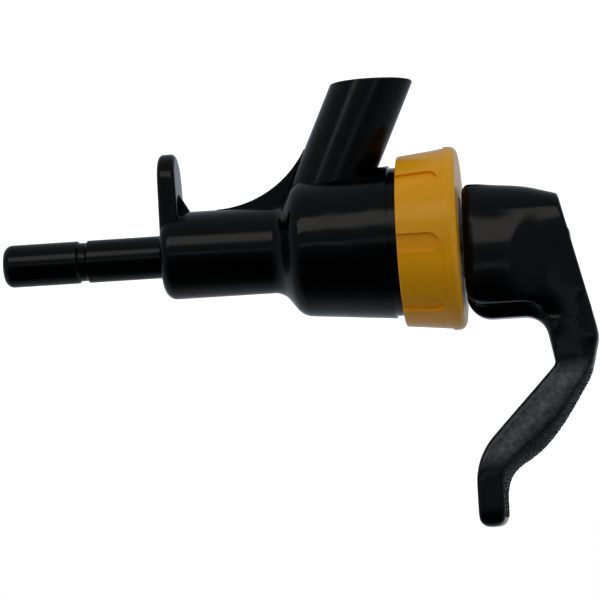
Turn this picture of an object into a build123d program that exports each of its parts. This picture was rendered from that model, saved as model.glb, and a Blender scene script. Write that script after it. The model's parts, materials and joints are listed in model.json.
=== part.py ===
from build123d import *
import math
import os

# Hand-held party tap for a beer line, in millimetres.
# +X runs along the main axis from the inlet stem's free end to the lever, +Z points to the lever's arm.
# The origin is the centre of the stem's free end.

# Inlet stem
stem_radius = 4.7625
stem_length = 36.15
stem_tip_round = 2.0
stem_bore_radius = 2.6
stem_groove_from_tip = 18.0
stem_groove_width = 2.4
stem_groove_depth = 0.45
# Barrel and shoulder
barrel_radius = 9.7
barrel_length = 26.55
barrel_end_round = 2.6
barrel_bore_radius = 6.5
barrel_bore_from_end = 5.1
shoulder_length = 4.1
shoulder_round = 4.4
# Valve chamber
chamber_start_radius = 15.2
chamber_end_radius = 17.0
chamber_length = 20.7
chamber_bore_radius = 12.5
chamber_floor_step = 0.1
collar_groove_width = 0.45
collar_groove_depth = 0.4
collar_radius = 16.45
collar_width = 1.7
neck_radius = 15.6
neck_length = 7.1
# Valve seat
seat_hole_radius = 5.5
seat_lip_width = 1.2
seat_lip_height = 0.8
seat_wall = 2.7
seat_gap = 0.2
# Spout
spout_radius = 8.4
spout_bore_radius = 6.5
spout_lean = 25.0
spout_drop = 36.0
spout_axis_from_chamber = 1.2
spout_rim_round = 0.4
spout_bore_start = 11.0
# Web between barrel and spout
web_thickness = 3.0
web_foot_from_barrel_end = 14.0
web_top_drop = 21.9
web_radius = 23.5
# Lug on the barrel
lug_thickness = 4.5
lug_draft = 1.6
lug_width = 13.0
lug_height = 22.9
lug_edge_round = 1.2
gusset_height = 4.5
gusset_length = 1.9
gusset_thickness = 2.0
gusset_overlap = 1.0
# Union nut
nut_skirt_start_radius = 18.95
nut_skirt_end_radius = 20.05
nut_skirt_length = 10.4
nut_flange_radius = 20.35
nut_flange_width = 2.85
nut_flange_round = 1.7
nut_edge_round = 0.4
nut_hole_radius = 9.0
nut_thread_clearance = 0.15
flute_count = 8
flute_width = 5.4
flute_depth = 0.9
flute_end_margin = 0.9
flute_turn = 1.5
# Bonnet guide and seals
seal_thickness = 1.0
seal_width = 2.7
guide_flange_clearance = 0.2
guide_spigot_clearance = 0.1
guide_spigot_length = 4.0
guide_boss_clearance = 0.2
guide_nose_radius = 4.2
guide_nose_length = 4.0
guide_bore_clearance = 0.06
key_length = 1.1
shaft_seal_section = 1.4
shaft_seal_fit = 0.05
shaft_seal_from_flange = 0.9
# Plunger and valve washer
shaft_radius = 3.0
shaft_flat_half_width = 2.2
shaft_flat_length = 10.8
head_radius = 7.6
head_thickness = 4.0
washer_radius = 7.4
washer_thickness = 1.2
nub_radius = 2.5
nub_button_radius = 3.3
nub_button_length = 1.4
# Closing spring
spring_radius = 6.4
spring_wire_width = 1.1
spring_turns = 5
spring_end_gap = 0.05
# Lever
lever_gap = 0.55
pivot_from_face = 4.5
pin_radius = 1.5
pin_fit = 0.05
pin_length = 17.0
pin_press = 0.01
pin_recess = 0.3
pin_chamfer = 0.3
slot_clearance = 0.3
lever_travel = 20.0
hood_length = 21.3
hood_half_width = 11.5
hood_collar_length = 4.6
hood_bottom = 15.6
hood_top_corner = 7.65
hood_face_lean = 13.2
hood_edge_round = 1.7
hood_corner_round = 3.6
hood_top_round = 0.8
hood_waist_from_face = 11.7
hood_waist_half_width = 10.1
hood_waist_top = 10.8
hood_root_from_face = 17.0
hood_root_half_width = 7.3
hood_root_top = 9.7
hood_end_top = 8.3
hood_heel_round = 5.0
rib_half_width = 4.8
rib_depth = 2.9
rib_edge_round = 0.8
rib_step = 0.9
cam_round = 5.2
arm_half_width = 6.0
arm_knee_drop = 29.4
arm_knee_from_face = 18.6
arm_thickness = 8.8
arm_inner_lean = 10.5
arm_bend_drop = 18.3
arm_blend = 1.0
paddle_half_width = 9.2
paddle_lean = 43.8
paddle_drop = 34.9
paddle_overlap = 0.5
paddle_side_inset = 0.05
paddle_knee_round = 0.6
paddle_bend_round = 15.0
flare_past_bend = 3.0
flare_round = 1.0
tip_inset = 18.6
tip_thickness = 6.15
tip_crown = 0.3
tip_straight = 5.0
tip_bend_rise = 3.2
edge_bulge = 0.2
crown_bulge = 2.5
tip_end_round = 2.3
tip_corner_round = 3.0

# Stations along the main axis
barrel_end_x = stem_length + barrel_length
chamber_start_x = barrel_end_x + shoulder_length
chamber_end_x = chamber_start_x + chamber_length
collar_x = chamber_end_x + collar_groove_width
nut_x = collar_x + collar_width
mouth_x = nut_x + neck_length
flange_x = mouth_x + seal_thickness
nut_wall_x = nut_x + nut_skirt_length
nut_face_x = nut_wall_x + nut_flange_width
lever_face_x = nut_face_x + lever_gap
pivot_x = lever_face_x + pivot_from_face

# Valve seat and head stations
chamber_floor_x = chamber_start_x + chamber_floor_step
seat_x = chamber_floor_x + seat_lip_height
washer_x = seat_x + seat_gap
head_x = washer_x + washer_thickness
head_back_x = head_x + head_thickness
spigot_x = flange_x - guide_spigot_length
nut_bore_radius = neck_radius + nut_thread_clearance

os.makedirs("parts", exist_ok=True)


def export_piece(builder, name):
    """Label a finished piece and write it under its node name."""
    builder.part.label = name
    export_step(builder.part, f"parts/{name}.step")


# Spout axis, leaning towards the lever as it goes down
lean = math.radians(spout_lean)
spout_root = (chamber_start_x + spout_axis_from_chamber, 0, 0)
spout_plane = Plane(origin=spout_root, x_dir=(0, 1, 0), z_dir=(math.sin(lean), 0, -math.cos(lean)))
spout_reach = (spout_drop + spout_radius) / math.cos(lean)
spout_edge = spout_radius / math.cos(lean)


def spout_left_edge(drop):
    """X of the spout's stem-side edge at a distance below the main axis."""
    return spout_root[0] + drop * math.tan(lean) - spout_edge


# Round-topped lug at the barrel's stem end, thinner towards its free end
lug_root_x = stem_length + lug_thickness
lug_tip_x = lug_root_x - lug_height * math.tan(math.radians(lug_draft))
with BuildPart() as lug:
    with BuildSketch(Plane.XZ):
        Polygon(
            (stem_length, 0),
            (lug_root_x, 0),
            (lug_tip_x, -lug_height),
            (stem_length, -lug_height),
            align=None,
        )
    extrude(amount=lug_width, both=True)
    with BuildSketch(Plane.YZ.offset(stem_length)):
        with Locations((0, lug_width / 2 - lug_height)):
            Circle(lug_width / 2)
        with Locations((0, (lug_width / 2 - lug_height) / 2)):
            Rectangle(lug_width, lug_height - lug_width / 2)
    extrude(amount=lug_thickness, mode=Mode.INTERSECT)
    lug_faces = lug.faces().sort_by(Axis.X)
    lug_rims = lug_faces[0].edges() + lug_faces[-1].edges()
    fillet(lug_rims.filter_by(lambda edge: edge.center().Z < -lug_edge_round), lug_edge_round)

# Tap body: stem, barrel, shoulder and chamber turned on the main axis, then the spout, web and lug
with BuildPart() as tap_body:
    with BuildSketch(Plane.XZ):
        with BuildLine():
            groove_left = stem_groove_from_tip - stem_groove_width / 2
            groove_right = stem_groove_from_tip + stem_groove_width / 2
            groove_radius = stem_radius - stem_groove_depth
            Polyline(
                (0, 0),
                (0, stem_radius),
                (groove_left, stem_radius),
                (groove_left + stem_groove_depth, groove_radius),
                (groove_right - stem_groove_depth, groove_radius),
                (groove_right, stem_radius),
                (stem_length, stem_radius),
                (stem_length, barrel_radius),
                (stem_length + barrel_end_round, barrel_radius),
            )
            shoulder = FilletPolyline(
                (stem_length + barrel_end_round, barrel_radius),
                (barrel_end_x, barrel_radius),
                (chamber_start_x, chamber_start_radius),
                (chamber_end_x, chamber_end_radius),
                radius=shoulder_round,
            )
            Polyline(
                shoulder @ 1,
                (chamber_end_x, collar_radius - collar_groove_depth),
                (collar_x, collar_radius - collar_groove_depth),
                (collar_x, collar_radius),
                (nut_x, collar_radius),
                (nut_x, neck_radius),
                (mouth_x, neck_radius),
                (mouth_x, 0),
                (0, 0),
            )
        make_face()
    revolve(axis=Axis.X)
    stem_tip = tap_body.edges().filter_by(GeomType.CIRCLE).group_by(Axis.X)[0]
    fillet(stem_tip, stem_tip_round)
    barrel_rim = tap_body.edges().filter_by(GeomType.CIRCLE).filter_by(
        lambda edge: abs(edge.center().X - stem_length) < 0.01 and abs(edge.radius - barrel_radius) < 0.01
    )
    fillet(barrel_rim, barrel_end_round)

    # Spout, cut level with the main axis
    with BuildSketch(spout_plane):
        Circle(spout_radius)
    extrude(amount=spout_reach)
    split(bisect_by=Plane.XY.offset(-spout_drop), keep=Keep.TOP)
    spout_rim = tap_body.edges().group_by(Axis.Z)[0]
    fillet(spout_rim, spout_rim_round)

    # Thin web, its free edge an arc from the barrel to the spout
    web_foot = (barrel_end_x - web_foot_from_barrel_end, -barrel_radius)
    web_head = (spout_left_edge(web_top_drop), -web_top_drop)
    with BuildSketch(Plane.XZ):
        with BuildLine():
            RadiusArc(web_foot, web_head, web_radius)
            Polyline(
                web_head,
                (web_head[0] + spout_edge, -web_top_drop),
                (spout_root[0] + spout_edge, 0),
                (web_foot[0], 0),
                web_foot,
            )
        make_face()
    extrude(amount=web_thickness / 2, both=True)

    # Lug and its small gusset
    add(lug.part)
    gusset_root_z = -barrel_radius + gusset_overlap
    with BuildSketch(Plane.XZ):
        Polygon(
            (lug_tip_x - gusset_overlap, gusset_root_z),
            (lug_tip_x - gusset_overlap, -barrel_radius - gusset_height),
            (lug_tip_x, -barrel_radius - gusset_height),
            (lug_root_x + gusset_length, -barrel_radius),
            (lug_root_x + gusset_length, gusset_root_z),
            align=None,
        )
    extrude(amount=gusset_thickness / 2, both=True)

    # Waterway: stem bore, barrel bore, seat hole and chamber, with a raised lip round the seat
    barrel_bore_x = stem_length + barrel_bore_from_end
    seat_wall_x = seat_x - seat_lip_height - seat_wall
    with BuildSketch(Plane.XZ):
        with BuildLine():
            Polyline(
                (0, 0),
                (0, stem_bore_radius),
                (barrel_bore_x, stem_bore_radius),
                (barrel_bore_x, barrel_bore_radius),
                (seat_wall_x, barrel_bore_radius),
                (seat_wall_x, seat_hole_radius),
                (seat_x, seat_hole_radius),
                (seat_x, seat_hole_radius + seat_lip_width),
                (chamber_floor_x, seat_hole_radius + seat_lip_width),
                (chamber_floor_x, chamber_bore_radius),
                (mouth_x, chamber_bore_radius),
                (mouth_x, 0),
                close=True,
            )
        make_face()
    revolve(axis=Axis.X, mode=Mode.SUBTRACT)
    with BuildSketch(spout_plane.offset(spout_bore_start / math.cos(lean))):
        Circle(spout_bore_radius)
    extrude(amount=spout_reach, mode=Mode.SUBTRACT)
export_piece(tap_body, "tap_body")

# Union nut: conical skirt, slightly proud flange, flutes open at the skirt's free edge
skirt_slope = math.atan2(nut_skirt_end_radius - nut_skirt_start_radius, nut_skirt_length)
with BuildPart() as union_nut:
    with BuildSketch(Plane.XZ):
        with BuildLine():
            Polyline(
                (nut_x, nut_bore_radius),
                (nut_x, nut_skirt_start_radius),
                (nut_wall_x, nut_skirt_end_radius),
                (nut_wall_x, nut_flange_radius),
                (nut_face_x, nut_flange_radius),
                (nut_face_x, nut_hole_radius),
                (nut_wall_x, nut_hole_radius),
                (nut_wall_x, nut_bore_radius),
                close=True,
            )
        face = make_face()
        fillet(face.vertices().sort_by(Axis.X)[-2:].sort_by(Axis.Y)[-1], nut_flange_round)
    revolve(axis=Axis.X)
    skirt_edge = union_nut.edges().filter_by(GeomType.CIRCLE).filter_by(
        lambda edge: abs(edge.center().X - nut_x) < 0.01 and edge.radius > nut_bore_radius + 0.01
    )
    fillet(skirt_edge, nut_edge_round)
    flute_length = nut_skirt_length - flute_end_margin
    for flute in range(flute_count):
        turn = math.radians(90 + flute_turn + flute * 360 / flute_count)
        outward = Vector(0, math.cos(turn - math.pi / 2), math.sin(turn - math.pi / 2))
        floor_radius = nut_skirt_start_radius - flute_depth / math.cos(skirt_slope)
        along = Vector(math.cos(skirt_slope), 0, 0) + outward * math.sin(skirt_slope)
        normal = outward * math.cos(skirt_slope) - Vector(math.sin(skirt_slope), 0, 0)
        floor = Plane(origin=Vector(nut_x, 0, 0) + outward * floor_radius, x_dir=along, z_dir=normal)
        with BuildSketch(floor):
            with Locations((flute_length - flute_width / 2, 0)):
                Circle(flute_width / 2)
            with Locations(((flute_length - flute_width) / 2, 0)):
                Rectangle(flute_length, flute_width)
        extrude(amount=3 * flute_depth, mode=Mode.SUBTRACT)
export_piece(union_nut, "union_nut")

# Bonnet seal, squeezed between the chamber's mouth and the guide's flange
with BuildPart() as bonnet_seal:
    with BuildSketch(Plane.YZ.offset(mouth_x)):
        Circle(neck_radius - guide_flange_clearance)
        Circle(neck_radius - guide_flange_clearance - seal_width, mode=Mode.SUBTRACT)
    extrude(amount=seal_thickness)
export_piece(bonnet_seal, "bonnet_seal")

# Bonnet guide: spigot in the chamber, flange under the nut, boss through the nut, keyed shaft bore
guide_bore_radius = shaft_radius + guide_bore_clearance
guide_flange_radius = neck_radius - guide_flange_clearance
guide_boss_radius = nut_hole_radius - guide_boss_clearance
seal_outer_radius = shaft_radius + shaft_seal_fit + shaft_seal_section
seal_groove_x = flange_x + shaft_seal_from_flange - shaft_seal_section
with BuildPart() as bonnet_guide:
    with BuildSketch(Plane.XZ):
        with BuildLine():
            Polyline(
                (spigot_x - guide_nose_length, guide_bore_radius),
                (spigot_x - guide_nose_length, guide_nose_radius),
                (spigot_x, guide_nose_radius),
                (spigot_x, chamber_bore_radius - guide_spigot_clearance),
                (flange_x, chamber_bore_radius - guide_spigot_clearance),
                (flange_x, guide_flange_radius),
                (nut_wall_x, guide_flange_radius),
                (nut_wall_x, guide_boss_radius),
                (nut_face_x, guide_boss_radius),
                (nut_face_x, 0),
                (nut_face_x - key_length, 0),
                (nut_face_x - key_length, guide_bore_radius),
                (seal_groove_x + shaft_seal_section, guide_bore_radius),
                (seal_groove_x + shaft_seal_section, seal_outer_radius),
                (seal_groove_x, seal_outer_radius),
                (seal_groove_x, guide_bore_radius),
                close=True,
            )
        make_face()
    revolve(axis=Axis.X)
    with BuildSketch(Plane.YZ.offset(nut_face_x)):
        Circle(guide_bore_radius)
        Rectangle(
            2 * (shaft_flat_half_width + guide_bore_clearance), 4 * guide_bore_radius, mode=Mode.INTERSECT
        )
    extrude(amount=-key_length, mode=Mode.SUBTRACT)
export_piece(bonnet_guide, "bonnet_guide")

# Shaft seal, a square-section ring in the guide's groove
with BuildPart() as shaft_seal:
    with BuildSketch(Plane.YZ.offset(seal_groove_x)):
        Circle(seal_outer_radius)
        Circle(seal_outer_radius - shaft_seal_section, mode=Mode.SUBTRACT)
    extrude(amount=shaft_seal_section)
export_piece(shaft_seal, "shaft_seal")

# Valve washer, sprung over the plunger's nub
with BuildPart() as valve_washer:
    with BuildSketch(Plane.YZ.offset(washer_x)):
        Circle(washer_radius)
        Circle(nub_radius, mode=Mode.SUBTRACT)
    extrude(amount=washer_thickness)
export_piece(valve_washer, "valve_washer")

# Plunger: nub, valve head, round shaft, flats towards the lever and a ball end with the pin's hole
with BuildPart() as plunger:
    with BuildSketch(Plane.XZ):
        with BuildLine():
            Polyline(
                (washer_x - nub_button_length, 0),
                (washer_x - nub_button_length, nub_button_radius),
                (washer_x, nub_button_radius),
                (washer_x, nub_radius),
                (head_x, nub_radius),
                (head_x, head_radius),
                (head_back_x, head_radius),
                (head_back_x, shaft_radius),
                (pivot_x, shaft_radius),
            )
            CenterArc((pivot_x, 0), shaft_radius, 0, 90)
            Line((pivot_x + shaft_radius, 0), (washer_x - nub_button_length, 0))
        make_face()
    revolve(axis=Axis.X)
    flat_depth = shaft_radius - shaft_flat_half_width
    flat_x = pivot_x - shaft_flat_length
    for side in (-1, 1):
        with Locations((flat_x, side * (shaft_flat_half_width + flat_depth), 0)):
            Box(
                shaft_flat_length + 2 * shaft_radius,
                2 * flat_depth,
                4 * shaft_radius,
                align=(Align.MIN, Align.CENTER, Align.CENTER),
                mode=Mode.SUBTRACT,
            )
    with BuildSketch(Plane.XZ):
        with Locations((pivot_x, 0)):
            Circle(pin_radius + pin_fit)
    extrude(amount=2 * shaft_radius, both=True, mode=Mode.SUBTRACT)
export_piece(plunger, "plunger")

# Closing spring of square wire between the valve head and the guide's spigot
spring_start_x = head_back_x + spring_wire_width / 2 + spring_end_gap
spring_height = spigot_x - spring_wire_width / 2 - spring_end_gap - spring_start_x
with BuildPart() as closing_spring:
    with BuildLine():
        coil = Helix(
            spring_height / spring_turns,
            spring_height,
            spring_radius,
            center=(spring_start_x, 0, 0),
            direction=(1, 0, 0),
        )
    with BuildSketch(Plane(origin=coil @ 0, x_dir=(1, 0, 0), z_dir=coil % 0)):
        Rectangle(spring_wire_width, spring_wire_width)
    sweep(path=coil, is_frenet=True)
export_piece(closing_spring, "closing_spring")

# Lever: hood and upper arm from U-shaped sections trimmed to the side outline, then rib and paddle
face_lean = math.tan(math.radians(hood_face_lean))
hood_end_x = lever_face_x + hood_length
hood_collar_x = lever_face_x + hood_collar_length
knee_x = lever_face_x + arm_knee_from_face
rib_bottom = hood_bottom + rib_depth
inner_lean = math.tan(math.radians(arm_inner_lean))
inner_rise = arm_knee_drop - hood_bottom
arm_root_z = arm_bend_drop + paddle_overlap
hood_over_z = -hood_half_width - arm_blend
heel_end_z = (hood_bottom + arm_knee_drop) / 2
arm_end_x = hood_end_x + 2 * arm_thickness


def slanted_face(z):
    """X of the hood's outer face at a height."""
    return hood_end_x + (z + hood_top_corner) * face_lean


def hood_section(x, half_width, top):
    """U-shaped section of the hood: round towards the spout, straight sides towards the arm."""
    with BuildSketch(Plane.YZ.offset(x)) as section:
        with BuildLine():
            Polyline(
                (half_width, half_width - top),
                (half_width, 2 * arm_knee_drop),
                (-half_width, 2 * arm_knee_drop),
                (-half_width, half_width - top),
            )
            ThreePointArc((-half_width, half_width - top), (0, -top), (half_width, half_width - top))
        make_face()
    return section.sketch


# Paddle: flat inner face that bends into the tip, outer face crowned across the width
slope = math.radians(paddle_lean)
along = (-math.sin(slope), math.cos(slope))
outward = (math.cos(slope), math.sin(slope))
tip_x = knee_x - tip_inset
bend_z = arm_knee_drop + tip_inset / math.tan(slope)
tip_end_z = arm_knee_drop + paddle_drop


def paddle_point(distance, depth):
    """Point at a distance from the knee along the inner face and a depth behind it."""
    x = knee_x + along[0] * distance + outward[0] * depth
    z = arm_knee_drop + along[1] * distance + outward[1] * depth
    return (x, z)


def arm_inside(z):
    """X of the upper arm's inner face at a height, between the knee and the hood's underside."""
    return knee_x + rib_step * (arm_knee_drop - z) / inner_rise - inner_lean * (arm_knee_drop - z)


def paddle_outline(y, depths, tip_depth, bend_bulge):
    """Side outline of the arm's knee and paddle in one plane across the width."""
    with BuildSketch(Plane.XZ.offset(-y)) as section:
        with BuildLine():
            inside = FilletPolyline(
                (arm_inside(arm_bend_drop), arm_bend_drop),
                (knee_x, arm_knee_drop),
                (tip_x, bend_z),
                (tip_x, tip_end_z),
                (tip_x + tip_depth, tip_end_z),
                (tip_x + tip_depth, tip_end_z - tip_straight),
                radius=[paddle_knee_round, paddle_bend_round, tip_end_round, tip_end_round],
            )
            root = (slanted_face(arm_bend_drop), arm_bend_drop)
            Spline(
                inside @ 1,
                (tip_x + tip_depth + bend_bulge, bend_z + tip_bend_rise),
                *[paddle_point(distance, depth) for distance, depth in depths],
                root,
                tangents=[(0, -1), (-face_lean, -1)],
            )
            Line(root, (arm_inside(arm_bend_drop), arm_bend_drop))
        make_face()
    return section.sketch


# Central rib along the hood's arm side, running out at the knee; its rounded end is the cam
with BuildPart() as rib:
    with BuildSketch(Plane.XZ):
        with BuildLine():
            rib_heel_x = knee_x - (arm_knee_drop - rib_bottom) * inner_lean
            rib_edge = FilletPolyline(
                (knee_x, arm_knee_drop),
                (rib_heel_x, rib_bottom),
                (lever_face_x, rib_bottom),
                (lever_face_x, 0),
                radius=[hood_heel_round, cam_round],
            )
            Polyline(
                rib_edge @ 1,
                (knee_x + rib_half_width, 0),
                (knee_x + rib_half_width, arm_knee_drop),
                rib_edge @ 0,
            )
        make_face()
    extrude(amount=rib_half_width, both=True)
    rib_sides = rib.faces().filter_by(Axis.Y).edges()
    rib_rims = rib_sides.filter_by(lambda edge: edge.center().Z > 0 and edge.center().X < knee_x)
    fillet(rib_rims.filter_by(lambda edge: edge.center().Z < arm_knee_drop), rib_edge_round)

# Crowned paddle, trimmed to the flare seen from the front; depths are (distance from knee, depth) pairs
edge_depths = [(19, 5.5), (14, 6.3), (9, 7.0), (4, 5.6), (-1.5, 4.4), (-6, 3.7), (-9.8, 2.9)]
crown_depths = [(19, 9.4), (14, 10.0), (9, 9.7), (4, 8.9), (-2, 7.75), (-5.9, 6.45), (-10.2, 3.6)]
paddle_root = arm_half_width - paddle_side_inset
flare_z = bend_z + flare_past_bend
with BuildPart() as paddle:
    loft(
        [
            paddle_outline(-paddle_half_width, edge_depths, tip_thickness - tip_crown, edge_bulge),
            paddle_outline(0, crown_depths, tip_thickness, crown_bulge),
            paddle_outline(paddle_half_width, edge_depths, tip_thickness - tip_crown, edge_bulge),
        ]
    )
    with BuildSketch(Plane.YZ):
        with BuildLine():
            flare = FilletPolyline(
                (paddle_root, 0),
                (paddle_root, arm_knee_drop),
                (paddle_half_width, flare_z),
                (paddle_half_width, tip_end_z),
                (-paddle_half_width, tip_end_z),
                (-paddle_half_width, flare_z),
                (-paddle_root, arm_knee_drop),
                (-paddle_root, 0),
                radius=[flare_round] * 2 + [tip_corner_round] * 2 + [flare_round] * 2,
            )
            Line(flare @ 1, flare @ 0)
        make_face()
    extrude(amount=2 * hood_end_x, mode=Mode.INTERSECT)

with BuildPart() as lever_handle:
    loft(
        [
            hood_section(lever_face_x, hood_half_width, hood_half_width),
            hood_section(hood_collar_x, hood_half_width, hood_half_width),
            hood_section(lever_face_x + hood_waist_from_face, hood_waist_half_width, hood_waist_top),
            hood_section(lever_face_x + hood_root_from_face, hood_root_half_width, hood_root_top),
            hood_section(hood_end_x + arm_blend, arm_half_width, hood_end_top),
            hood_section(hood_end_x + arm_blend + arm_thickness / 2, arm_half_width, hood_end_top),
            hood_section(arm_end_x, arm_half_width, hood_end_top),
        ]
    )
    # Side outline of the hood and the root of the arm
    with BuildSketch(Plane.XZ):
        with BuildLine():
            hood_edge = FilletPolyline(
                (arm_inside(heel_end_z), heel_end_z),
                (arm_inside(hood_bottom), hood_bottom),
                (lever_face_x, hood_bottom),
                (lever_face_x, hood_over_z),
                radius=[hood_heel_round, hood_corner_round],
            )
            Polyline(
                hood_edge @ 1,
                (slanted_face(hood_over_z), hood_over_z),
                (slanted_face(arm_root_z), arm_root_z),
                hood_edge @ 0,
            )
        make_face()
    extrude(amount=2 * hood_half_width, both=True, mode=Mode.INTERSECT)
    face_edges = lever_handle.faces().sort_by(Axis.X)[0].edges()
    side_top_z = hood_bottom - hood_corner_round
    fillet(face_edges.filter_by(lambda edge: edge.center().Z < side_top_z), hood_edge_round)
    hood_top = lever_handle.edges().filter_by(lambda edge: edge.center().X > hood_end_x - arm_blend)
    fillet(hood_top.sort_by(Axis.Z)[0], hood_top_round)
    add(rib.part)
    add(paddle.part)

    # Slot for the plunger's flat end, wide enough for the lever to tilt, and the pin's blind hole
    slot_radius = shaft_radius + slot_clearance
    with BuildSketch(Plane.XZ):
        with Locations((pivot_x, 0)):
            Circle(slot_radius)
            for tilt in (0, -lever_travel):
                with Locations(Rotation(0, 0, tilt)):
                    Rectangle(4 * pivot_from_face, 2 * slot_radius, align=(Align.MAX, Align.CENTER))
    extrude(amount=shaft_flat_half_width + slot_clearance, both=True, mode=Mode.SUBTRACT)
    with BuildSketch(Plane.XZ.offset(hood_half_width - pin_recess - pin_length)):
        with Locations((pivot_x, 0)):
            Circle(pin_radius + pin_press)
    extrude(amount=pin_length + hood_half_width, mode=Mode.SUBTRACT)
export_piece(lever_handle, "lever_handle")

# Pivot pin, driven into the lever from one side
with BuildPart() as pivot_pin:
    with BuildSketch(Plane.XZ.offset(hood_half_width - pin_recess)):
        with Locations((pivot_x, 0)):
            Circle(pin_radius)
    extrude(amount=-pin_length)
    chamfer(pivot_pin.edges(), pin_chamfer)
export_piece(pivot_pin, "pivot_pin")
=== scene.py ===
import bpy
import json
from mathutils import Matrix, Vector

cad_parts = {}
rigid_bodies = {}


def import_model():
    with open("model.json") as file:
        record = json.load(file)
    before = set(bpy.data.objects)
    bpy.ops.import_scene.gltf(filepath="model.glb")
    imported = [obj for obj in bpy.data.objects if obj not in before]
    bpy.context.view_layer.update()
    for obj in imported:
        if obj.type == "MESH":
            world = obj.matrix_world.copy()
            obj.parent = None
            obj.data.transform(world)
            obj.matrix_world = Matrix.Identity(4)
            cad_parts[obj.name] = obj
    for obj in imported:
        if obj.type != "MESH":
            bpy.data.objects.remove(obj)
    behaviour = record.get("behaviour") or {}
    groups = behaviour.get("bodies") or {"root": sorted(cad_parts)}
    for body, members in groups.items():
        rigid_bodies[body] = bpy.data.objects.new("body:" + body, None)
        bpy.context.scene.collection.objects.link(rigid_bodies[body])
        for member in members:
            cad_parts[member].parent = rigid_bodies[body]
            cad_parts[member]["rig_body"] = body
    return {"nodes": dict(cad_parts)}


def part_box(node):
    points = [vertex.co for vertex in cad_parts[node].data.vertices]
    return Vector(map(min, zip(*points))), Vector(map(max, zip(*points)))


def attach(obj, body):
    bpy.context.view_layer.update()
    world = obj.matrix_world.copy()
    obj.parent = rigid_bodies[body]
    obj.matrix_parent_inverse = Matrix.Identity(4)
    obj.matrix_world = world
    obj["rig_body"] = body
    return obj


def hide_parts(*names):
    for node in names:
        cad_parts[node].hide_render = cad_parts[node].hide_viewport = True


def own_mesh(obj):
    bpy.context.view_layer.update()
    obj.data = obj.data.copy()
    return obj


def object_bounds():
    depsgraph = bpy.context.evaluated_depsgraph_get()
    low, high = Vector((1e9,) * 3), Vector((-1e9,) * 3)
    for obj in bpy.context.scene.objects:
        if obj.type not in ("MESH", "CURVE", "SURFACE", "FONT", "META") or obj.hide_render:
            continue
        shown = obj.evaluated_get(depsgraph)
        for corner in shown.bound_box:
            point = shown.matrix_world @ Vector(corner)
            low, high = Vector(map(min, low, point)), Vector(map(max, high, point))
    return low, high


bl_info = {
    "name": "Party Tap",
    "version": (1, 0, 0),
    "blender": (4, 5, 0),
    "location": "View3D > Sidebar > Party Tap",
    "description": "Finishes a plastic beer party tap: body, union nut, lever, valve parts and studio",
    "category": "Object",
}

import json
import math

import bmesh
import bpy
from mathutils import Matrix, Vector

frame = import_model()
cad_low, cad_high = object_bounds()

MM = 0.001

# Smooth copies of the CAD meshes
MERGE_DISTANCE = 1e-7
CREASE_ANGLE = math.radians(28)
LARGE_FACE_WEIGHT = 80

# Union nut: its flutes in the CAD mesh, their narrowed half angle and the turn to the photograph's position
FLUTE_COUNT = 8
FLUTE_CENTRE = math.radians(1.5)
FLUTE_HALF_ANGLE = math.radians(9.1)
FLUTE_NARROWED = math.radians(7.1)
NUT_TURN = math.radians(4.7)

# Lever's knee, where the arm meets the paddle's inner face; heights are above the main axis
KNEE_INSET = 9.3 * MM
KNEE_HEIGHT = 29.4 * MM
PADDLE_LEAN = math.radians(43.8)

# Lever's even skin and the patches that are relaxed; a SIDE is a distance from the middle plane
LEVER_CELL = 0.4 * MM
RELAX_FACTOR = 0.5
SKIN_PASSES = 2
HOOD_SIDE = 5.5 * MM
SIDE_PASSES = 24
ARM_SIDE = 4 * MM
ARM_BLEND_START = 17 * MM
ARM_PASSES = 6
RUN_OUT_AHEAD = 8.5 * MM
RUN_OUT_DROP = 4 * MM
RUN_OUT_REACH = 8 * MM
RUN_OUT_PASSES = 90
HEEL_DROP = 10.6 * MM
HEEL_REACH = 3 * MM
HEEL_DEPTH = 4 * MM
HEEL_PASSES = 60
ARM_FLAT_CENTRE = 22 * MM
ARM_FLAT_REACH = 8 * MM
ARM_FLAT_INNER = 1.2 * MM
ARM_FLAT_OUTER = 7.8 * MM
ARM_FLAT_PASSES = 200
FLANK_FACING = 0.85
FLANK_END = 34 * MM
FLANK_PASSES = 120
FINAL_PASSES = 10
ROOT_BEHIND = 2 * MM
ROOT_REACH = 2.5 * MM
ROOT_SIDE = 2 * MM

# Hood's oval section, which has faded out at HOOD_REACH from the lever's end beside the nut
HOOD_RADIUS = 11.5 * MM
HOOD_REACH = 24 * MM
HOOD_FADE = 18 * MM
HOOD_TOP = 19 * MM
OVAL_CENTRE = 6.4 * MM
OVAL_HALF_HEIGHT = 18.2 * MM
OVAL_LEAST = 0.02

# Paddle's grained outer face and side strip, whose grey specks are a painted sheen where the flared face
# catches the light; depths are from the paddle's inner face
GRIP_START = 31 * MM
GRIP_END = 62 * MM
GRIP_DEPTH = 2 * MM
GRIP_FACING = 0.4
GRIP_ROUGHER = 0.22
GRAIN_DENSITY = 9e6
GRAIN_SMALLEST = 0.55
GRAIN_LARGEST = 1.2
SHEEN_START = 28 * MM
SHEEN_END = 52 * MM
SHEEN_FADE = 4 * MM
SHEEN_DEPTH = 3 * MM
SHEEN_HALF_WIDTH = 4.2 * MM
SHEEN_FACING = 0.75
# Grey of the painted sheen: a lighter strip that stands in for light on the paddle's flared side face
SHEEN_GREY = (0.14, 0.145, 0.14)

# Closing spring
SPRING_WIRE = 1.1 * MM
SPRING_TURNS = 5.0
COIL_STEPS = 64
WIRE_ROUND = 0.15 * MM
WIRE_ROUND_STEPS = 3

# Finishes
NOISE_LOW, NOISE_HIGH = 0.3, 0.7
TONE_START, TONE_END = 0.35, 0.65
BLACK_SPECULAR = 0.11
AMBER_SPECULAR = 0.15
RUBBER_TONES = (0.018, 0.018, 0.019), (0.032, 0.032, 0.033)
STEEL_TONES = (0.50, 0.50, 0.51), (0.64, 0.64, 0.65)

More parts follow.
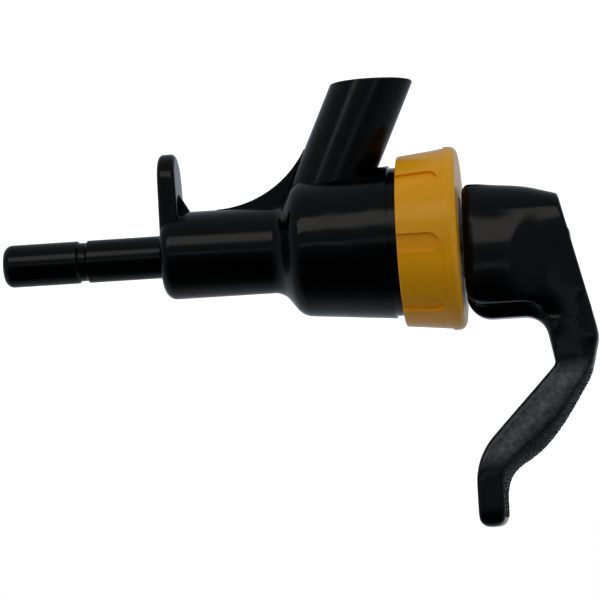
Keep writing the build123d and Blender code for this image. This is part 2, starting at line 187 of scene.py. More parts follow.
# Studio, in metres; the lights' places are from the point they aim at
PHOTO_SIDE_PIXELS = 600
SENSOR_WIDTH_MM = 36
CLIP_START, CLIP_END = 0.01, 200
FLOOR_HALF_SIDE = 60
FLOOR_GREY = 0.6
LIGHT_AIM = Vector((0.075, 0, 0))
KEY_PLACE = Vector((0, 0.66, -0.45))
KEY_SIZE = (1.2, 0.32)
KEY_COLOUR = (1.0, 0.95, 0.86)
LINE_PLACE = Vector((0, 0.80, 0))
LINE_SIZE = (1.2, 0.064)
ROOM_COLOUR = (0.88, 0.98, 1.10)
DARK_TURN = math.radians(50)
DARK_START, DARK_FULL = 0.35, 0.95


class TapPlasticSettings(bpy.types.PropertyGroup):
    """Colours and gloss of the plastics."""

    black: bpy.props.FloatVectorProperty(
        name="Black", description="Base colour of the body and lever",
        subtype="COLOR", size=3, min=0, max=1, default=(0.0012, 0.0013, 0.0015),
    )
    black_roughness: bpy.props.FloatProperty(
        name="Black roughness", description="Mean roughness of the black mouldings",
        subtype="FACTOR", min=0, max=1, default=0.15,
    )
    amber: bpy.props.FloatVectorProperty(
        name="Amber", description="Base colour of the union nut",
        subtype="COLOR", size=3, min=0, max=1, default=(1.0, 0.41, 0.008),
    )
    amber_roughness: bpy.props.FloatProperty(
        name="Amber roughness", description="Mean roughness of the union nut",
        subtype="FACTOR", min=0, max=1, default=0.22,
    )
    natural: bpy.props.FloatVectorProperty(
        name="Natural", description="Base colour of the guide and plunger",
        subtype="COLOR", size=3, min=0, max=1, default=(0.74, 0.72, 0.66),
    )


class TapGripSettings(bpy.types.PropertyGroup):
    """Grained grip on the paddle's outer face."""

    grain_size: bpy.props.FloatProperty(
        name="Grain size", description="Radius of one grain",
        unit="LENGTH", min=0.00002, max=0.001, default=0.00016, precision=5,
    )
    grain_spacing: bpy.props.FloatProperty(
        name="Grain spacing", description="Least distance between grains",
        unit="LENGTH", min=0.0001, max=0.002, default=0.00042, precision=5,
    )
    seed: bpy.props.IntProperty(
        name="Seed", description="Pattern of the grains", min=0, default=7,
    )


class TapStageSettings(bpy.types.PropertyGroup):
    """Camera and studio."""

    camera_yaw: bpy.props.FloatProperty(
        name="Camera yaw", description="How far the camera stands towards the lever",
        subtype="ANGLE", default=math.radians(5.9),
    )
    camera_pitch: bpy.props.FloatProperty(
        name="Camera pitch", description="How far the camera stands towards the lever's arm",
        subtype="ANGLE", default=math.radians(4.1),
    )
    camera_roll: bpy.props.FloatProperty(
        name="Camera roll", description="Tilt of the main axis in the picture",
        subtype="ANGLE", default=math.radians(3.601),
    )
    camera_distance: bpy.props.FloatProperty(
        name="Camera distance", description="Distance from the camera to its target",
        unit="LENGTH", default=0.760,
    )
    camera_target: bpy.props.FloatVectorProperty(
        name="Camera target", description="Point at the picture's centre",
        subtype="TRANSLATION", size=3, default=(0.066099, 0.0, 0.011549),
    )
    pixels_per_mm: bpy.props.FloatProperty(
        name="Pixels per millimetre", description="Scale of the picture at the target",
        min=0.1, default=4.4919,
    )
    key_watts: bpy.props.FloatProperty(
        name="Key light", description="Power of the soft key light", unit="POWER", min=0, default=3.4,
    )
    line_watts: bpy.props.FloatProperty(
        name="Line light", description="Power of the narrow light at the camera's height",
        unit="POWER", min=0, default=0.24,
    )
    room_light: bpy.props.FloatProperty(
        name="Room light", description="Brightness of the room", min=0, default=0.55,
    )
    dark_light: bpy.props.FloatProperty(
        name="Dark side", description="Brightness of the room below the camera", min=0, default=0.03,
    )
    floor_drop: bpy.props.FloatProperty(
        name="Floor drop", description="Height of the part above the floor",
        unit="LENGTH", min=0, default=0.12,
    )


def fresh_material(name):
    """A new node material, its tree, and its principled shader joined to the output."""
    material = bpy.data.materials.new(name)
    material.use_nodes = True
    nodes = material.node_tree.nodes
    nodes.clear()
    output = nodes.new("ShaderNodeOutputMaterial")
    shader = nodes.new("ShaderNodeBsdfPrincipled")
    material.node_tree.links.new(shader.outputs["BSDF"], output.inputs["Surface"])
    return material, material.node_tree, shader


def join_finish(tree, shader, colour, roughness, normal):
    """Drive a shader's colour, roughness and normal."""
    tree.links.new(colour, shader.inputs["Base Color"])
    tree.links.new(roughness, shader.inputs["Roughness"])
    tree.links.new(normal, shader.inputs["Normal"])


def object_noise(tree, per_metre, detail=3.0, stretch=(1, 1, 1)):
    """Noise on object coordinates, with so many features per metre."""
    coordinates = tree.nodes.new("ShaderNodeTexCoord")
    mapping = tree.nodes.new("ShaderNodeMapping")
    mapping.inputs["Scale"].default_value = stretch
    noise = tree.nodes.new("ShaderNodeTexNoise")
    noise.inputs["Scale"].default_value = per_metre
    noise.inputs["Detail"].default_value = detail
    tree.links.new(coordinates.outputs["Object"], mapping.inputs["Vector"])
    tree.links.new(mapping.outputs["Vector"], noise.inputs["Vector"])
    return noise.outputs["Fac"]


def mapped(tree, value, low, high):
    """Noise value spread between two numbers."""
    spread = tree.nodes.new("ShaderNodeMapRange")
    spread.inputs["From Min"].default_value = NOISE_LOW
    spread.inputs["From Max"].default_value = NOISE_HIGH
    spread.inputs["To Min"].default_value = low
    spread.inputs["To Max"].default_value = high
    tree.links.new(value, spread.inputs["Value"])
    return spread.outputs["Result"]


def two_tones(tree, value, first, second):
    """Colour ramp between two close tones."""
    ramp = tree.nodes.new("ShaderNodeValToRGB")
    ramp.color_ramp.elements[0].position = TONE_START
    ramp.color_ramp.elements[1].position = TONE_END
    ramp.color_ramp.elements[0].color = (*first, 1)
    ramp.color_ramp.elements[1].color = (*second, 1)
    tree.links.new(value, ramp.inputs["Fac"])
    return ramp.outputs["Color"]


def bumped(tree, height, distance, under=None):
    """Bump from a height value, on top of another bump where given."""
    bump = tree.nodes.new("ShaderNodeBump")
    bump.inputs["Strength"].default_value = 1.0
    bump.inputs["Distance"].default_value = distance
    tree.links.new(height, bump.inputs["Height"])
    if under is not None:
        tree.links.new(under, bump.inputs["Normal"])
    return bump.outputs["Normal"]


def vertex_value(tree, name):
    """Value of a vertex attribute of the piece."""
    attribute = tree.nodes.new("ShaderNodeAttribute")
    attribute.attribute_name = name
    return attribute.outputs["Fac"]


def product(tree, first, second):
    """Two values multiplied."""
    multiply = tree.nodes.new("ShaderNodeMath")
    multiply.operation = "MULTIPLY"
    tree.links.new(first, multiply.inputs[0])
    tree.links.new(second, multiply.inputs[1])
    return multiply.outputs["Value"]


def shaded(colour, factor):
    """A colour made lighter or darker."""
    return tuple(min(1.0, channel * factor) for channel in colour)


def sheen_tone(tree, colour):
    """Colour with grey specks on the paddle's side strip: a painted sheen where its flared face catches the
    light, speckled like the grain.
    """
    specks = mapped(tree, object_noise(tree, 900, 4.0), 0.35, 1.0)
    greyed = tree.nodes.new("ShaderNodeMix")
    greyed.data_type = "RGBA"
    greyed.inputs["B"].default_value = (*SHEEN_GREY, 1)
    tree.links.new(product(tree, vertex_value(tree, "painted_sheen"), specks), greyed.inputs["Factor"])
    tree.links.new(colour, greyed.inputs["A"])
    return greyed.outputs["Result"]


def rougher_grip(tree, roughness, grip):
    """Roughness raised on the paddle's grip."""
    rougher = tree.nodes.new("ShaderNodeMath")
    rougher.operation = "MULTIPLY_ADD"
    rougher.inputs[1].default_value = GRIP_ROUGHER
    tree.links.new(grip, rougher.inputs[0])
    tree.links.new(roughness, rougher.inputs[2])
    return rougher.outputs["Value"]


def black_plastic(plastic, name="black_plastic", grained=False):
    """Gloss black moulding: faint sink waves, fine orange peel and slightly uneven gloss."""
    material, tree, shader = fresh_material(name)
    tone = object_noise(tree, 45)
    colour = two_tones(tree, tone, shaded(plastic.black, 0.8), shaded(plastic.black, 1.25))
    gloss = object_noise(tree, 160)
    roughness = mapped(tree, gloss, plastic.black_roughness - 0.03, plastic.black_roughness + 0.05)
    waves = bumped(tree, object_noise(tree, 70, 1.0), 0.04 * MM)
    normal = bumped(tree, object_noise(tree, 1300, 2.0), 0.004 * MM, under=waves)
    if grained:
        grip = vertex_value(tree, "grip")
        grains = product(tree, object_noise(tree, 2600, 4.0), grip)
        normal = bumped(tree, grains, 0.1 * MM, under=normal)
        # Painted sheen: grey specks where the paddle's flared side catches the light
        colour = sheen_tone(tree, colour)
        roughness = rougher_grip(tree, roughness, grip)
    join_finish(tree, shader, colour, roughness, normal)
    shader.inputs["Specular IOR Level"].default_value = BLACK_SPECULAR
    return material


def amber_plastic(plastic):
    """Gloss amber moulding, slightly cloudy, with flow streaks along the axis."""
    material, tree, shader = fresh_material("amber_plastic")
    streaks = object_noise(tree, 60, 2.0, stretch=(0.35, 1, 1))
    colour = two_tones(tree, streaks, shaded(plastic.amber, 0.93), shaded(plastic.amber, 1.05))
    gloss = object_noise(tree, 220)
    roughness = mapped(tree, gloss, plastic.amber_roughness - 0.04, plastic.amber_roughness + 0.06)
    waves = bumped(tree, object_noise(tree, 90, 1.0), 0.03 * MM)
    normal = bumped(tree, object_noise(tree, 1500, 2.0), 0.004 * MM, under=waves)
    join_finish(tree, shader, colour, roughness, normal)
    shader.inputs["Specular IOR Level"].default_value = AMBER_SPECULAR
    shader.inputs["Subsurface Weight"].default_value = 0.12
    shader.inputs["Subsurface Radius"].default_value = (1.0, 0.45, 0.08)
    shader.inputs["Subsurface Scale"].default_value = 1.2 * MM
    return material


def natural_plastic(plastic):
    """Off-white turned plastic with fine turning lines round the main axis."""
    material, tree, shader = fresh_material("natural_plastic")
    cloud = object_noise(tree, 120)
    colour = two_tones(tree, cloud, shaded(plastic.natural, 0.94), shaded(plastic.natural, 1.04))
    roughness = mapped(tree, object_noise(tree, 300), 0.32, 0.46)
    turning = object_noise(tree, 900, 1.0, stretch=(6, 0.2, 0.2))
    join_finish(tree, shader, colour, roughness, bumped(tree, turning, 0.01 * MM))
    shader.inputs["Subsurface Weight"].default_value = 0.1
    shader.inputs["Subsurface Scale"].default_value = 1.0 * MM
    return material


def seal_rubber():
    """Matt dark rubber with a fine grain."""
    material, tree, shader = fresh_material("seal_rubber")
    colour = two_tones(tree, object_noise(tree, 250), *RUBBER_TONES)
    roughness = mapped(tree, object_noise(tree, 700), 0.55, 0.75)
    grain = object_noise(tree, 3000, 4.0)
    join_finish(tree, shader, colour, roughness, bumped(tree, grain, 0.02 * MM))
    return material


def drawn_steel(name, stretch):
    """Stainless wire or pin, with drawing lines along an axis where its stretch is small."""
    material, tree, shader = fresh_material(name)
    lines = object_noise(tree, 1500, stretch=stretch)
    colour = two_tones(tree, lines, *STEEL_TONES)
    roughness = mapped(tree, lines, 0.22, 0.38)
    join_finish(tree, shader, colour, roughness, bumped(tree, lines, 0.006 * MM))
    shader.inputs["Metallic"].default_value = 1.0
    return material


def link_object(name, data):
    """New object at the origin, in the scene's collection."""
    piece = bpy.data.objects.new(name, data)
    bpy.context.scene.collection.objects.link(piece)
    return piece


def smooth_copy(node, name):
    """Merged copy of a CAD node with smooth faces and sharp creases."""
    shell = bmesh.new()
    shell.from_mesh(frame["nodes"][node].data)
    bmesh.ops.remove_doubles(shell, verts=shell.verts, dist=MERGE_DISTANCE)
    for face in shell.faces:
        face.smooth = True
        face.material_index = 0
    for edge in shell.edges:
        edge.smooth = edge.is_manifold and edge.calc_face_angle() < CREASE_ANGLE
    mesh = bpy.data.meshes.new(name)
    shell.to_mesh(mesh)
    shell.free()
    piece = link_object(name, mesh)
    weighted = piece.modifiers.new("even_normals", "WEIGHTED_NORMAL")
    weighted.keep_sharp = True
    weighted.weight = LARGE_FACE_WEIGHT
    return piece


def dress(piece, node, material):
    """Give a piece its material and body in place of its CAD node."""
    piece.data.materials.clear()
    piece.data.materials.append(material)
    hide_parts(node)
    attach(piece, frame["nodes"][node]["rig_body"])


def keep_result(piece):
    """Make the result of a piece's modifiers its plain mesh, and remove them."""
    bpy.context.view_layer.update()
    evaluated = piece.evaluated_get(bpy.context.evaluated_depsgraph_get())
    mesh = bpy.data.meshes.new_from_object(evaluated)
    piece.modifiers.clear()
    piece.data = mesh


def new_tree(name, inputs):
    """Geometry node tree with one geometry input and output and the named inputs."""
    tree = bpy.data.node_groups.new(name, "GeometryNodeTree")
    tree.interface.new_socket("Geometry", in_out="INPUT", socket_type="NodeSocketGeometry")
    identifiers = {}
    for label, kind in inputs.items():
        identifiers[label] = tree.interface.new_socket(label, in_out="INPUT", socket_type=kind).identifier
    tree.interface.new_socket("Geometry", in_out="OUTPUT", socket_type="NodeSocketGeometry")
    return tree, identifiers


def run_tree(piece, tree, values):
    """Evaluate a node tree on a piece and keep the result as its plain mesh."""
    modifier = piece.modifiers.new(tree.name, "NODES")
    modifier.node_group = tree
    for identifier, value in values.items():
        modifier[identifier] = value
    keep_result(piece)
    return piece


def grain_tree(material):
    """Tree that strews small grains over a surface."""
    tree, ids = new_tree(
        "strewn_grains",
        {"Spacing": "NodeSocketFloat", "Grain Radius": "NodeSocketFloat", "Seed": "NodeSocketInt"},
    )
    nodes, links = tree.nodes, tree.links
    given = nodes.new("NodeGroupInput")
    result = nodes.new("NodeGroupOutput")
    points = nodes.new("GeometryNodeDistributePointsOnFaces")
    points.distribute_method = "POISSON"
    points.inputs["Density Max"].default_value = GRAIN_DENSITY
    grain = nodes.new("GeometryNodeMeshIcoSphere")
    grain.inputs["Subdivisions"].default_value = 1
    instances = nodes.new("GeometryNodeInstanceOnPoints")
    sizes = nodes.new("FunctionNodeRandomValue")
    sizes.data_type = "FLOAT"
    sizes.inputs[2].default_value = GRAIN_SMALLEST
    sizes.inputs[3].default_value = GRAIN_LARGEST
    realize = nodes.new("GeometryNodeRealizeInstances")
    smooth = nodes.new("GeometryNodeSetShadeSmooth")
    finish = nodes.new("GeometryNodeSetMaterial")
    finish.inputs["Material"].default_value = material
    links.new(given.outputs["Geometry"], points.inputs["Mesh"])
    links.new(given.outputs["Spacing"], points.inputs["Distance Min"])
    links.new(given.outputs["Seed"], points.inputs["Seed"])
    links.new(given.outputs["Seed"], sizes.inputs["Seed"])
    links.new(given.outputs["Grain Radius"], grain.inputs["Radius"])
    links.new(points.outputs["Points"], instances.inputs["Points"])
    links.new(points.outputs["Rotation"], instances.inputs["Rotation"])
    links.new(grain.outputs["Mesh"], instances.inputs["Instance"])
    links.new(sizes.outputs[1], instances.inputs["Scale"])
    links.new(instances.outputs["Instances"], realize.inputs["Geometry"])
    links.new(realize.outputs["Geometry"], smooth.inputs["Geometry"])
    links.new(smooth.outputs["Geometry"], finish.inputs["Geometry"])
    links.new(finish.outputs["Geometry"], result.inputs["Geometry"])
    return tree, ids


def spring_tree(material):
    """Tree that winds a square wire into a coil along +X."""
    tree, ids = new_tree(
        "wound_spring",
        {
            "Coil Radius": "NodeSocketFloat",
            "Coil Length": "NodeSocketFloat",
            "Turns": "NodeSocketFloat",
            "Wire Width": "NodeSocketFloat",
            "Start": "NodeSocketVector",
        },
    )
    nodes, links = tree.nodes, tree.links
    given = nodes.new("NodeGroupInput")
    result = nodes.new("NodeGroupOutput")
    coil = nodes.new("GeometryNodeCurveSpiral")
    coil.inputs["Resolution"].default_value = COIL_STEPS
    wire = nodes.new("GeometryNodeCurvePrimitiveQuadrilateral")
    corners = nodes.new("GeometryNodeFilletCurve")
    corners.mode = "POLY"
    corners.inputs["Count"].default_value = WIRE_ROUND_STEPS
    corners.inputs["Radius"].default_value = WIRE_ROUND
    sweep = nodes.new("GeometryNodeCurveToMesh")
    sweep.inputs["Fill Caps"].default_value = True
    place = nodes.new("GeometryNodeTransform")
    place.inputs["Rotation"].default_value = (0, math.pi / 2, 0)
    smooth = nodes.new("GeometryNodeSetShadeSmooth")
    realize = nodes.new("GeometryNodeRealizeInstances")
    finish = nodes.new("GeometryNodeSetMaterial")
    finish.inputs["Material"].default_value = material
    links.new(given.outputs["Coil Radius"], coil.inputs["Start Radius"])
    links.new(given.outputs["Coil Radius"], coil.inputs["End Radius"])
    links.new(given.outputs["Coil Length"], coil.inputs["Height"])
    links.new(given.outputs["Turns"], coil.inputs["Rotations"])
    links.new(given.outputs["Wire Width"], wire.inputs["Width"])
    links.new(given.outputs["Wire Width"], wire.inputs["Height"])
    links.new(wire.outputs["Curve"], corners.inputs["Curve"])
    links.new(coil.outputs["Curve"], sweep.inputs["Curve"])
    links.new(corners.outputs["Curve"], sweep.inputs["Profile Curve"])
    links.new(sweep.outputs["Mesh"], place.inputs["Geometry"])
    links.new(given.outputs["Start"], place.inputs["Translation"])
    links.new(place.outputs["Geometry"], smooth.inputs["Geometry"])
    links.new(smooth.outputs["Geometry"], realize.inputs["Geometry"])
    links.new(realize.outputs["Geometry"], finish.inputs["Geometry"])
    links.new(finish.outputs["Geometry"], result.inputs["Geometry"])
    return tree, ids


def turn_flutes(mesh):
    """Turn the screwed-on nut to where the photograph shows it, and draw each flute's sides together."""
    sector = 2 * math.pi / FLUTE_COUNT
    stretch = (sector / 2 - FLUTE_NARROWED) / (sector / 2 - FLUTE_HALF_ANGLE)
    for vert in mesh.vertices:
        radius = math.hypot(vert.co.y, vert.co.z)
        angle = math.atan2(vert.co.z, vert.co.y)
        offset = (angle - FLUTE_CENTRE + sector / 2) % sector - sector / 2
        inside = min(abs(offset), FLUTE_HALF_ANGLE) * FLUTE_NARROWED / FLUTE_HALF_ANGLE
        beyond = max(0.0, abs(offset) - FLUTE_HALF_ANGLE)
        moved = math.copysign(inside + beyond * stretch, offset)
        angle += moved - offset + NUT_TURN
        vert.co.y, vert.co.z = radius * math.cos(angle), radius * math.sin(angle)


def even_skin(piece, cell):
    """Replace a piece's mesh by an even closed skin of about one cell size."""
    piece.modifiers.clear()
    skin = piece.modifiers.new("even_skin", "REMESH")
    skin.mode = "VOXEL"
    skin.voxel_size = cell
    keep_result(piece)


def paddle_axes():
    """Lever's knee and the direction from the paddle's inner to its outer face, in the side plane."""
    _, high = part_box("lever_handle")
    knee = Vector((high.x - KNEE_INSET, 0, KNEE_HEIGHT))
    return knee, Vector((math.cos(PADDLE_LEAN), 0, math.sin(PADDLE_LEAN)))


def relax(shell, verts, passes):
    """Even out a patch of skin."""
    for _ in range(passes):
        bmesh.ops.smooth_vert(
            shell, verts=verts, factor=RELAX_FACTOR, use_axis_x=True, use_axis_y=True, use_axis_z=True,
        )


def near(vert, x, z, reach):
    """Whether a point lies within reach of a place in the side plane."""
    return math.hypot(vert.co.x - x, vert.co.z - z) < reach


def outside(shell, side):
    """Points of a skin that lie further than a distance from the middle plane."""
    return [vert for vert in shell.verts if abs(vert.co.y) > side]


def blend_lever(shell):
    """Soften the moulded edges, most where the hood runs into the arm and the arm into the paddle."""
    knee, _ = paddle_axes()
    run_out_x, run_out_z = knee.x + RUN_OUT_AHEAD, knee.z - RUN_OUT_DROP
    heel_z = knee.z - HEEL_DROP
    sides = outside(shell, HOOD_SIDE)
    arm = [vert for vert in shell.verts if vert.co.z > ARM_BLEND_START]
    run_out = [vert for vert in arm if near(vert, run_out_x, run_out_z, RUN_OUT_REACH)]
    heel = [
        vert for vert in outside(shell, ARM_SIDE)
        if abs(vert.co.z - heel_z) < HEEL_REACH and vert.co.x > knee.x - HEEL_DEPTH
    ]
    relax(shell, shell.verts, SKIN_PASSES)
    relax(shell, [vert for vert in sides if vert.co.z < ARM_BLEND_START], SIDE_PASSES)
    relax(shell, arm, ARM_PASSES)
    relax(shell, run_out, RUN_OUT_PASSES)
    relax(shell, heel, HEEL_PASSES)
    arm_flat = [
        vert for vert in outside(shell, ARM_SIDE)
        if abs(vert.co.z - ARM_FLAT_CENTRE) < ARM_FLAT_REACH
        and ARM_FLAT_INNER < vert.co.x - knee.x < ARM_FLAT_OUTER
    ]
    relax(shell, arm_flat, ARM_FLAT_PASSES)
    shell.normal_update()
    flanks = [vert for vert in sides if abs(vert.normal.y) > FLANK_FACING and vert.co.z < FLANK_END]
    relax(shell, flanks, FLANK_PASSES)
    relax(shell, outside(shell, ARM_SIDE), FINAL_PASSES)
    root_x = knee.x - ROOT_BEHIND
    root = [vert for vert in outside(shell, ROOT_SIDE) if near(vert, root_x, heel_z, ROOT_REACH)]
    relax(shell, root, HEEL_PASSES)


def oval_width(z):
    """Share of the hood's half width kept at a height, for an oval section widest above the main axis."""
    offset = (z - OVAL_CENTRE) / OVAL_HALF_HEIGHT
    oval = math.sqrt(max(OVAL_LEAST, 1 - offset * offset))
    drum = math.sqrt(max(OVAL_LEAST, 1 - (min(z, 0) / HOOD_RADIUS) ** 2))
    return oval / drum


def round_hood(shell):
    """Draw the hood's straight sides in to an oval section, fading out towards the arm."""
    low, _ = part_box("lever_handle")
    root_x = low.x + HOOD_REACH
    for vert in shell.verts:
        if vert.co.z > HOOD_TOP:
            continue
        fade = min(1.0, max(0.0, (root_x - vert.co.x) / HOOD_FADE))
        fade = fade * fade * (3 - 2 * fade)
        vert.co.y *= 1 + fade * (oval_width(vert.co.z) - 1)


def sheen_share(vert, knee, outward):
    """How far a point of the lever lies on the paddle's side strip with the painted sheen, from 0 to 1."""
    if abs(vert.normal.y) < SHEEN_FACING or not SHEEN_START < vert.co.z < SHEEN_END:
        return 0.0
    depth = (vert.co - knee).dot(outward)
    across = max(0.0, 1 - abs(depth - SHEEN_DEPTH) / SHEEN_HALF_WIDTH)
    along = min(1.0, (vert.co.z - SHEEN_START) / SHEEN_FADE, (SHEEN_END - vert.co.z) / SHEEN_FADE)
    return across * along


def on_grip(face, knee, outward):
    """Whether a lever face belongs to the paddle's crowned outer side."""
    centre = face.calc_center_median()
    if not GRIP_START <= centre.z <= GRIP_END:
        return False
    facing = max(face.normal.dot(outward), face.normal.x)
    return facing > GRIP_FACING and (centre - knee).dot(outward) > GRIP_DEPTH


def mark_paddle(shell, knee, outward):
    """Write the vertex attributes that the lever's material reads on the paddle: the grip and the painted
    sheen.
    """
    grip = shell.verts.layers.float.new("grip")
    painted_sheen = shell.verts.layers.float.new("painted_sheen")
    # Share of the painted sheen on the paddle's side strip
    for vert in shell.verts:
        vert[painted_sheen] = sheen_share(vert, knee, outward)
    for face in shell.faces:
        if on_grip(face, knee, outward):
            for vert in face.verts:
                vert[grip] = 1.0


def grip_surface(shell, knee, outward):
    """Cut a lever's shell down to the paddle's outer side and return that as a mesh."""
    bare = [face for face in shell.faces if not on_grip(face, knee, outward)]
    bmesh.ops.delete(shell, geom=bare, context="FACES")
    if not shell.faces:
        raise RuntimeError("the paddle's outer face was not found")
    surface = bpy.data.meshes.new("grip_surface")
    shell.to_mesh(surface)
    return surface


def strewn_grains(surface, material, settings):
    """Grains on the grip's surface."""
    tree, ids = grain_tree(material)
    return run_tree(
        link_object("grip_grains", surface),
        tree,
        {
            ids["Spacing"]: settings.grain_spacing,
            ids["Grain Radius"]: settings.grain_size,
            ids["Seed"]: settings.seed,
        },
    )


class TAP_OT_moulded_body(bpy.types.Operator):
    """Black body moulding with stem, barrel, chamber, spout, web and lug"""

    bl_idname = "tap.moulded_body"
    bl_label = "Moulded Body"

    def execute(self, context):
        material = black_plastic(context.scene.tap_plastic)
        dress(smooth_copy("tap_body", "moulded_body"), "tap_body", material)
        return {"FINISHED"}


class TAP_OT_union_nut(bpy.types.Operator):
    """Amber union nut with its flutes"""

    bl_idname = "tap.union_nut"
    bl_label = "Union Nut"

    def execute(self, context):
        material = amber_plastic(context.scene.tap_plastic)
        nut = smooth_copy("union_nut", "fluted_nut")
        turn_flutes(nut.data)
        dress(nut, "union_nut", material)
        return {"FINISHED"}


class TAP_OT_lever(bpy.types.Operator):
    """Black cam lever with a grained grip on the paddle's outer face"""

    bl_idname = "tap.lever"
    bl_label = "Lever"

    def execute(self, context):
        material = black_plastic(context.scene.tap_plastic, "lever_plastic", grained=True)
        lever = smooth_copy("lever_handle", "cam_lever")
        even_skin(lever, LEVER_CELL)
        shell = bmesh.new()
        shell.from_mesh(lever.data)
        blend_lever(shell)
        round_hood(shell)
        shell.normal_update()
        knee, outward = paddle_axes()
        mark_paddle(shell, knee, outward)
        for face in shell.faces:
            face.smooth = True
        shell.to_mesh(lever.data)
        surface = grip_surface(shell, knee, outward)
        shell.free()
        dress(lever, "lever_handle", material)
        grains = strewn_grains(surface, material, context.scene.tap_grip)
        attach(grains, "lever")
        return {"FINISHED"}


class TAP_OT_valve_parts(bpy.types.Operator):
    """Guide, plunger, seals, washer and pivot pin inside the tap"""

    bl_idname = "tap.valve_parts"
    bl_label = "Valve Parts"

    def execute(self, context):
        natural = natural_plastic(context.scene.tap_plastic)
        rubber = seal_rubber()
        pin_steel = drawn_steel("pin_steel", (1, 0.05, 1))
        parts = (
            ("bonnet_guide", "shaft_guide", natural, "natural_plastic"),
            ("plunger", "valve_plunger", natural, "natural_plastic"),
            ("bonnet_seal", "flat_seal", rubber, "rubber"),
            ("shaft_seal", "ring_seal", rubber, "rubber"),
            ("valve_washer", "seat_washer", rubber, "rubber"),
            ("pivot_pin", "steel_pin", pin_steel, "stainless"),
        )
        for node, name, material, slot in parts:
            dress(smooth_copy(node, name), node, material)
        return {"FINISHED"}


class TAP_OT_closing_spring(bpy.types.Operator):
    """Square-wire spring that closes the valve"""

    bl_idname = "tap.closing_spring"
    bl_label = "Closing Spring"

    def execute(self, context):
        low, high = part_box("closing_spring")
        steel = drawn_steel("spring_steel", (1, 1, 1))
        tree, ids = spring_tree(steel)
        spring = run_tree(
            link_object("wound_spring", bpy.data.meshes.new("wound_spring")),
            tree,
            {
                ids["Coil Radius"]: (high.z - low.z - SPRING_WIRE) / 2,
                ids["Coil Length"]: high.x - low.x - SPRING_WIRE,
                ids["Turns"]: SPRING_TURNS,
                ids["Wire Width"]: SPRING_WIRE,
                ids["Start"]: (low.x + SPRING_WIRE / 2, 0, 0),
            },
        )
        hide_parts("closing_spring")
        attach(spring, "body")
        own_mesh(spring)
        return {"FINISHED"}


def camera_axes(stage):
    """Right, up and back directions of the camera, which sees the part with its spout up."""
    yaw, pitch, roll = stage.camera_yaw, stage.camera_pitch, stage.camera_roll
    back = Vector((math.sin(yaw) * math.cos(pitch), math.cos(yaw) * math.cos(pitch), math.sin(pitch)))
    level = Vector((1, 0, 0)) - back.x * back
    level.normalize()
    upright = back.cross(level)
    right = math.cos(roll) * level - math.sin(roll) * upright
    up = math.sin(roll) * level + math.cos(roll) * upright
    return right, up, back


def studio_camera(stage):
    """Camera at the photograph's angle, with the photograph's scale at its target."""
    right, up, back = camera_axes(stage)
    data = bpy.data.cameras.new("studio_camera")
    data.sensor_width = SENSOR_WIDTH_MM
    data.lens = SENSOR_WIDTH_MM * stage.pixels_per_mm * stage.camera_distance / MM / PHOTO_SIDE_PIXELS
    data.clip_start, data.clip_end = CLIP_START, CLIP_END
    camera = link_object("studio_camera", data)
    axes = Matrix((right, up, back)).transposed().to_4x4()
    place = Vector(stage.camera_target) + back * stage.camera_distance
    camera.matrix_world = Matrix.Translation(place) @ axes
    return camera


def pale_floor(stage):
    """Wide floor, white to the camera, that shows in no reflection and lights nothing."""
    grid = bmesh.new()
    bmesh.ops.create_grid(grid, x_segments=1, y_segments=1, size=FLOOR_HALF_SIDE)
    mesh = bpy.data.meshes.new("pale_floor")
    grid.to_mesh(mesh)
    grid.free()
    mesh.transform(Matrix.Translation((0, 0, cad_low.z - stage.floor_drop)))
    floor = link_object("pale_floor", mesh)
    material, _, shader = fresh_material("pale_floor")
    shader.inputs["Base Color"].default_value = (FLOOR_GREY, FLOOR_GREY, FLOOR_GREY, 1)
    shader.inputs["Roughness"].default_value = 0.9
    shader.inputs["Specular IOR Level"].default_value = 0.0
    shader.inputs["Emission Color"].default_value = (1, 1, 1, 1)
    shader.inputs["Emission Strength"].default_value = 1.0
    floor.data.materials.append(material)
    floor.visible_glossy = False
    floor.visible_diffuse = False


def soft_panel(name, place, size, watts, colour=(1, 1, 1)):
    """Rectangular soft light that the camera doesn't see."""
    light = bpy.data.lights.new(name, "AREA")
    light.shape = "RECTANGLE"
    light.size, light.size_y = size
    light.energy = watts
    light.color = colour
    panel = link_object(name, light)
    panel.location = LIGHT_AIM + place
    panel.rotation_mode = "QUATERNION"
    panel.rotation_quaternion = (-place).to_track_quat("-Z", "Y")
    panel.visible_camera = False


def room_glow(tree, stage):
    """Brightness of the room: even, and dark towards the side below the camera."""
    nodes, links = tree.nodes, tree.links
    direction = nodes.new("ShaderNodeTexCoord")
    side = nodes.new("ShaderNodeVectorMath")
    side.operation = "DOT_PRODUCT"
    side.inputs[1].default_value = (0, math.cos(DARK_TURN), math.sin(DARK_TURN))
    glow = nodes.new("ShaderNodeMapRange")
    glow.interpolation_type = "SMOOTHSTEP"
    glow.inputs["From Min"].default_value = DARK_START
    glow.inputs["From Max"].default_value = DARK_FULL
    glow.inputs["To Min"].default_value = stage.room_light
    glow.inputs["To Max"].default_value = stage.dark_light
    links.new(direction.outputs["Generated"], side.inputs[0])
    links.new(side.outputs["Value"], glow.inputs["Value"])
    return glow.outputs["Result"]


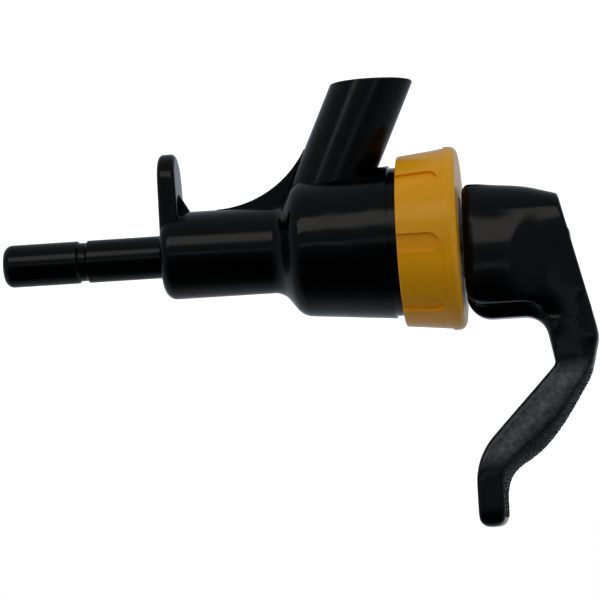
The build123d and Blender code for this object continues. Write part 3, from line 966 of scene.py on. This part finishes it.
def studio_world(stage):
    """World that is white to the camera and a dim, cool room to everything else."""
    world = bpy.data.worlds.new("studio")
    world.use_nodes = True
    nodes, links = world.node_tree.nodes, world.node_tree.links
    nodes.clear()
    output = nodes.new("ShaderNodeOutputWorld")
    mix = nodes.new("ShaderNodeMixShader")
    seen = nodes.new("ShaderNodeLightPath")
    room = nodes.new("ShaderNodeBackground")
    room.inputs["Color"].default_value = (*ROOM_COLOUR, 1)
    links.new(room_glow(world.node_tree, stage), room.inputs["Strength"])
    backdrop = nodes.new("ShaderNodeBackground")
    backdrop.inputs["Color"].default_value = (1, 1, 1, 1)
    backdrop.inputs["Strength"].default_value = 1.0
    links.new(seen.outputs["Is Camera Ray"], mix.inputs["Fac"])
    links.new(room.outputs["Background"], mix.inputs[1])
    links.new(backdrop.outputs["Background"], mix.inputs[2])
    links.new(mix.outputs["Shader"], output.inputs["Surface"])
    return world


class TAP_OT_stage(bpy.types.Operator):
    """Pale floor, soft lights and the camera at the photograph's angle"""

    bl_idname = "tap.stage"
    bl_label = "Stage"

    def execute(self, context):
        scene = context.scene
        stage = scene.tap_stage
        scene.camera = studio_camera(stage)
        pale_floor(stage)
        # The key light stands on the spout's side of the camera, the narrow one just behind the camera
        soft_panel("key_panel", KEY_PLACE, KEY_SIZE, stage.key_watts, KEY_COLOUR)
        soft_panel("line_panel", LINE_PLACE, LINE_SIZE, stage.line_watts)
        scene.world = studio_world(stage)
        scene.view_settings.view_transform = "Standard"
        return {"FINISHED"}


class TAP_PT_panel(bpy.types.Panel):
    """Sidebar panel with the tap's pieces and settings"""

    bl_idname = "TAP_PT_panel"
    bl_label = "Party Tap"
    bl_space_type = "VIEW_3D"
    bl_region_type = "UI"
    bl_category = "Party Tap"

    def draw(self, context):
        layout = self.layout
        for settings in (context.scene.tap_plastic, context.scene.tap_grip, context.scene.tap_stage):
            box = layout.box()
            for name in settings.bl_rna.properties.keys():
                if name not in {"rna_type", "name"}:
                    box.prop(settings, name)
        for operator in OPERATORS:
            layout.operator(operator.bl_idname)


OPERATORS = (
    TAP_OT_moulded_body,
    TAP_OT_union_nut,
    TAP_OT_lever,
    TAP_OT_valve_parts,
    TAP_OT_closing_spring,
    TAP_OT_stage,
)
SETTINGS = {
    "tap_plastic": TapPlasticSettings,
    "tap_grip": TapGripSettings,
    "tap_stage": TapStageSettings,
}


def register():
    """Register the settings, operators and panel."""
    for name, group in SETTINGS.items():
        bpy.utils.register_class(group)
        setattr(bpy.types.Scene, name, bpy.props.PointerProperty(type=group))
    for cls in (*OPERATORS, TAP_PT_panel):
        bpy.utils.register_class(cls)


def unregister():
    """Remove the panel, operators and settings."""
    for cls in (TAP_PT_panel, *reversed(OPERATORS)):
        bpy.utils.unregister_class(cls)
    for name, group in SETTINGS.items():
        delattr(bpy.types.Scene, name)
        bpy.utils.unregister_class(group)


def main():
    """Build the finished tap."""
    register()
    bpy.ops.tap.moulded_body()
    bpy.ops.tap.union_nut()
    bpy.ops.tap.lever()
    bpy.ops.tap.valve_parts()
    bpy.ops.tap.closing_spring()
    bpy.ops.tap.stage()


if __name__ == "__main__":
    main()
